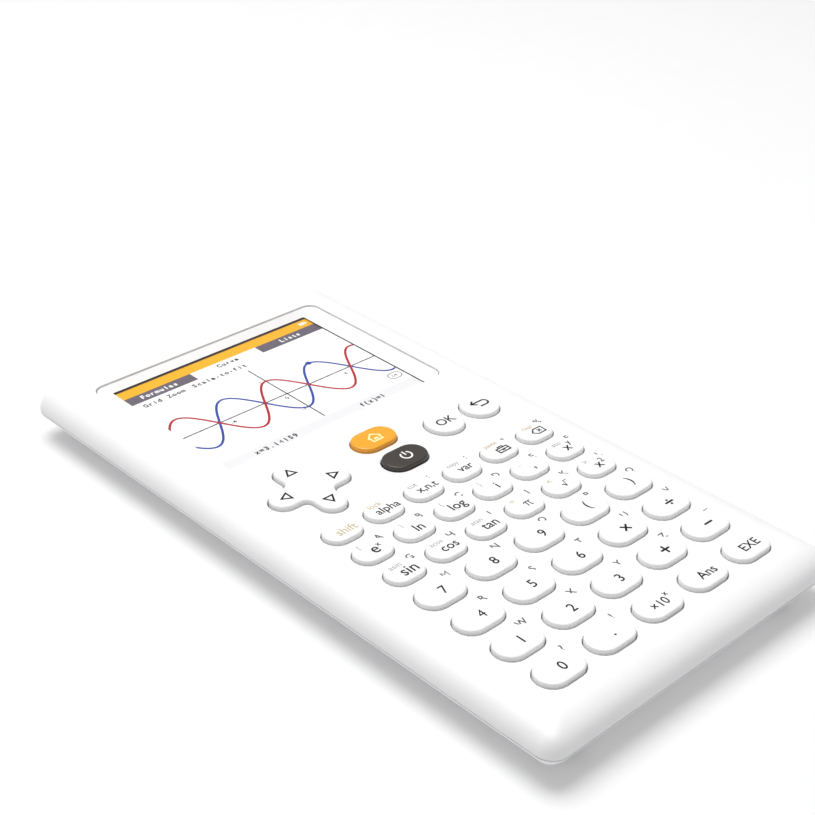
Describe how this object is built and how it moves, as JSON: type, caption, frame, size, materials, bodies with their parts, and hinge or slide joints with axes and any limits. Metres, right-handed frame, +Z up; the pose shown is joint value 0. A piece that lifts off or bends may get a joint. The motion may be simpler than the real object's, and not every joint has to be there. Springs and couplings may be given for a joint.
{
  "type": "graphing calculator",
  "caption": "Slim handheld graphing calculator: white two-part casing, colour display under a flush window, rocking arrow pad and rows of rounded keys.",
  "frame": {"origin": "under the middle of the flat back, on the surface the calculator lies on", "axes": "+X to the user's right, +Y towards the display end, +Z up out of the face; the calculator lies face up"},
  "size_m": [0.085, 0.16, 0.0137],
  "materials": {
    "casing": "satin white injection-moulded plastic with a very fine grain",
    "key_white": "smooth satin white plastic, legends printed in grey",
    "key_amber": "satin amber plastic",
    "key_charcoal": "satin charcoal plastic",
    "window": "clear polished acrylic",
    "foam": "black foam",
    "display": "colour liquid-crystal panel in a dark frame",
    "ribbon": "amber polyimide ribbon",
    "board": "green solder mask",
    "silicone": "translucent pale silicone",
    "pouch": "foil pouch",
    "steel": "plain steel"
  },
  "bodies": {
    "casing": {"front_shell": "casing", "rear_shell": "casing", "screen_lens": "window", "screen_gasket": "foam", "display_panel": "display", "display_flex": "ribbon", "main_board": "board", "key_membrane": "silicone", "battery": "pouch", "reset_switch": "foam", "usb_port": "steel", "status_light_pipe": "window", "screw_top_right": "steel", "screw_top_left": "steel", "screw_bottom_left": "steel", "screw_bottom_right": "steel"},
    "arrow_pad_pivot": {"arrow_pad_pivot": "silicone"},
    "arrow_pad": {"arrow_pad": "key_white"},
    "key_home": {"key_home": "key_amber"},
    "key_on_off": {"key_on_off": "key_charcoal"},
    "key_ok": {"key_ok": "key_white"},
    "key_back": {"key_back": "key_white"},
    "key_shift": {"key_shift": "key_white"},
    "key_alpha": {"key_alpha": "key_white"},
    "key_variable": {"key_variable": "key_white"},
    "key_stored_value": {"key_stored_value": "key_white"},
    "key_toolbox": {"key_toolbox": "key_white"},
    "key_backspace": {"key_backspace": "key_white"},
    "key_exponential": {"key_exponential": "key_white"},
    "key_natural_log": {"key_natural_log": "key_white"},
    "key_log": {"key_log": "key_white"},
    "key_imaginary": {"key_imaginary": "key_white"},
    "key_comma": {"key_comma": "key_white"},
    "key_power_of": {"key_power_of": "key_white"},
    "key_sine": {"key_sine": "key_white"},
    "key_cosine": {"key_cosine": "key_white"},
    "key_tangent": {"key_tangent": "key_white"},
    "key_pi": {"key_pi": "key_white"},
    "key_square_root": {"key_square_root": "key_white"},
    "key_square": {"key_square": "key_white"},
    "key_7": {"key_7": "key_white"},
    "key_8": {"key_8": "key_white"},
    "key_9": {"key_9": "key_white"},
    "key_open_bracket": {"key_open_bracket": "key_white"},
    "key_close_bracket": {"key_close_bracket": "key_white"},
    "key_4": {"key_4": "key_white"},
    "key_5": {"key_5": "key_white"},
    "key_6": {"key_6": "key_white"},
    "key_multiply": {"key_multiply": "key_white"},
    "key_divide": {"key_divide": "key_white"},
    "key_1": {"key_1": "key_white"},
    "key_2": {"key_2": "key_white"},
    "key_3": {"key_3": "key_white"},
    "key_plus": {"key_plus": "key_white"},
    "key_minus": {"key_minus": "key_white"},
    "key_0": {"key_0": "key_white"},
    "key_decimal_point": {"key_decimal_point": "key_white"},
    "key_times_ten": {"key_times_ten": "key_white"},
    "key_answer": {"key_answer": "key_white"},
    "key_enter": {"key_enter": "key_white"}
  },
  "joints": [
    {"name": "arrow_pad_up_down", "type": "hinge", "parent": "casing", "child": "arrow_pad_pivot", "pos_m": [-0.0228, 0.0057, 0.00875], "axis": [1, 0, 0], "range_deg": [-2.5, 2.5], "stiffness_Nm_per_rad": 0.3},
    {"name": "arrow_pad_left_right", "type": "hinge", "parent": "arrow_pad_pivot", "child": "arrow_pad", "pos_m": [-0.0228, 0.0057, 0.00875], "axis": [0, 1, 0], "range_deg": [-2.5, 2.5], "stiffness_Nm_per_rad": 0.3},
    {"name": "key_home_press", "type": "slide", "parent": "casing", "child": "key_home", "axis": [0, 0, -1], "range_m": [0, 0.0006], "stiffness_N_per_m": 1500},
    {"name": "key_on_off_press", "type": "slide", "parent": "casing", "child": "key_on_off", "axis": [0, 0, -1], "range_m": [0, 0.0006], "stiffness_N_per_m": 1500},
    {"name": "key_ok_press", "type": "slide", "parent": "casing", "child": "key_ok", "axis": [0, 0, -1], "range_m": [0, 0.0006], "stiffness_N_per_m": 1500},
    {"name": "key_back_press", "type": "slide", "parent": "casing", "child": "key_back", "axis": [0, 0, -1], "range_m": [0, 0.0006], "stiffness_N_per_m": 1500},
    {"name": "key_shift_press", "type": "slide", "parent": "casing", "child": "key_shift", "axis": [0, 0, -1], "range_m": [0, 0.0006], "stiffness_N_per_m": 1500},
    {"name": "key_alpha_press", "type": "slide", "parent": "casing", "child": "key_alpha", "axis": [0, 0, -1], "range_m": [0, 0.0006], "stiffness_N_per_m": 1500},
    {"name": "key_variable_press", "type": "slide", "parent": "casing", "child": "key_variable", "axis": [0, 0, -1], "range_m": [0, 0.0006], "stiffness_N_per_m": 1500},
    {"name": "key_stored_value_press", "type": "slide", "parent": "casing", "child": "key_stored_value", "axis": [0, 0, -1], "range_m": [0, 0.0006], "stiffness_N_per_m": 1500},
    {"name": "key_toolbox_press", "type": "slide", "parent": "casing", "child": "key_toolbox", "axis": [0, 0, -1], "range_m": [0, 0.0006], "stiffness_N_per_m": 1500},
    {"name": "key_backspace_press", "type": "slide", "parent": "casing", "child": "key_backspace", "axis": [0, 0, -1], "range_m": [0, 0.0006], "stiffness_N_per_m": 1500},
    {"name": "key_exponential_press", "type": "slide", "parent": "casing", "child": "key_exponential", "axis": [0, 0, -1], "range_m": [0, 0.0006], "stiffness_N_per_m": 1500},
    {"name": "key_natural_log_press", "type": "slide", "parent": "casing", "child": "key_natural_log", "axis": [0, 0, -1], "range_m": [0, 0.0006], "stiffness_N_per_m": 1500},
    {"name": "key_log_press", "type": "slide", "parent": "casing", "child": "key_log", "axis": [0, 0, -1], "range_m": [0, 0.0006], "stiffness_N_per_m": 1500},
    {"name": "key_imaginary_press", "type": "slide", "parent": "casing", "child": "key_imaginary", "axis": [0, 0, -1], "range_m": [0, 0.0006], "stiffness_N_per_m": 1500},
    {"name": "key_comma_press", "type": "slide", "parent": "casing", "child": "key_comma", "axis": [0, 0, -1], "range_m": [0, 0.0006], "stiffness_N_per_m": 1500},
    {"name": "key_power_of_press", "type": "slide", "parent": "casing", "child": "key_power_of", "axis": [0, 0, -1], "range_m": [0, 0.0006], "stiffness_N_per_m": 1500},
    {"name": "key_sine_press", "type": "slide", "parent": "casing", "child": "key_sine", "axis": [0, 0, -1], "range_m": [0, 0.0006], "stiffness_N_per_m": 1500},
    {"name": "key_cosine_press", "type": "slide", "parent": "casing", "child": "key_cosine", "axis": [0, 0, -1], "range_m": [0, 0.0006], "stiffness_N_per_m": 1500},
    {"name": "key_tangent_press", "type": "slide", "parent": "casing", "child": "key_tangent", "axis": [0, 0, -1], "range_m": [0, 0.0006], "stiffness_N_per_m": 1500},
    {"name": "key_pi_press", "type": "slide", "parent": "casing", "child": "key_pi", "axis": [0, 0, -1], "range_m": [0, 0.0006], "stiffness_N_per_m": 1500},
    {"name": "key_square_root_press", "type": "slide", "parent": "casing", "child": "key_square_root", "axis": [0, 0, -1], "range_m": [0, 0.0006], "stiffness_N_per_m": 1500},
    {"name": "key_square_press", "type": "slide", "parent": "casing", "child": "key_square", "axis": [0, 0, -1], "range_m": [0, 0.0006], "stiffness_N_per_m": 1500},
    {"name": "key_7_press", "type": "slide", "parent": "casing", "child": "key_7", "axis": [0, 0, -1], "range_m": [0, 0.0006], "stiffness_N_per_m": 1500},
    {"name": "key_8_press", "type": "slide", "parent": "casing", "child": "key_8", "axis": [0, 0, -1], "range_m": [0, 0.0006], "stiffness_N_per_m": 1500},
    {"name": "key_9_press", "type": "slide", "parent": "casing", "child": "key_9", "axis": [0, 0, -1], "range_m": [0, 0.0006], "stiffness_N_per_m": 1500},
    {"name": "key_open_bracket_press", "type": "slide", "parent": "casing", "child": "key_open_bracket", "axis": [0, 0, -1], "range_m": [0, 0.0006], "stiffness_N_per_m": 1500},
    {"name": "key_close_bracket_press", "type": "slide", "parent": "casing", "child": "key_close_bracket", "axis": [0, 0, -1], "range_m": [0, 0.0006], "stiffness_N_per_m": 1500},
    {"name": "key_4_press", "type": "slide", "parent": "casing", "child": "key_4", "axis": [0, 0, -1], "range_m": [0, 0.0006], "stiffness_N_per_m": 1500},
    {"name": "key_5_press", "type": "slide", "parent": "casing", "child": "key_5", "axis": [0, 0, -1], "range_m": [0, 0.0006], "stiffness_N_per_m": 1500},
    {"name": "key_6_press", "type": "slide", "parent": "casing", "child": "key_6", "axis": [0, 0, -1], "range_m": [0, 0.0006], "stiffness_N_per_m": 1500},
    {"name": "key_multiply_press", "type": "slide", "parent": "casing", "child": "key_multiply", "axis": [0, 0, -1], "range_m": [0, 0.0006], "stiffness_N_per_m": 1500},
    {"name": "key_divide_press", "type": "slide", "parent": "casing", "child": "key_divide", "axis": [0, 0, -1], "range_m": [0, 0.0006], "stiffness_N_per_m": 1500},
    {"name": "key_1_press", "type": "slide", "parent": "casing", "child": "key_1", "axis": [0, 0, -1], "range_m": [0, 0.0006], "stiffness_N_per_m": 1500},
    {"name": "key_2_press", "type": "slide", "parent": "casing", "child": "key_2", "axis": [0, 0, -1], "range_m": [0, 0.0006], "stiffness_N_per_m": 1500},
    {"name": "key_3_press", "type": "slide", "parent": "casing", "child": "key_3", "axis": [0, 0, -1], "range_m": [0, 0.0006], "stiffness_N_per_m": 1500},
    {"name": "key_plus_press", "type": "slide", "parent": "casing", "child": "key_plus", "axis": [0, 0, -1], "range_m": [0, 0.0006], "stiffness_N_per_m": 1500},
    {"name": "key_minus_press", "type": "slide", "parent": "casing", "child": "key_minus", "axis": [0, 0, -1], "range_m": [0, 0.0006], "stiffness_N_per_m": 1500},
    {"name": "key_0_press", "type": "slide", "parent": "casing", "child": "key_0", "axis": [0, 0, -1], "range_m": [0, 0.0006], "stiffness_N_per_m": 1500},
    {"name": "key_decimal_point_press", "type": "slide", "parent": "casing", "child": "key_decimal_point", "axis": [0, 0, -1], "range_m": [0, 0.0006], "stiffness_N_per_m": 1500},
    {"name": "key_times_ten_press", "type": "slide", "parent": "casing", "child": "key_times_ten", "axis": [0, 0, -1], "range_m": [0, 0.0006], "stiffness_N_per_m": 1500},
    {"name": "key_answer_press", "type": "slide", "parent": "casing", "child": "key_answer", "axis": [0, 0, -1], "range_m": [0, 0.0006], "stiffness_N_per_m": 1500},
    {"name": "key_enter_press", "type": "slide", "parent": "casing", "child": "key_enter", "axis": [0, 0, -1], "range_m": [0, 0.0006], "stiffness_N_per_m": 1500}
  ]
}
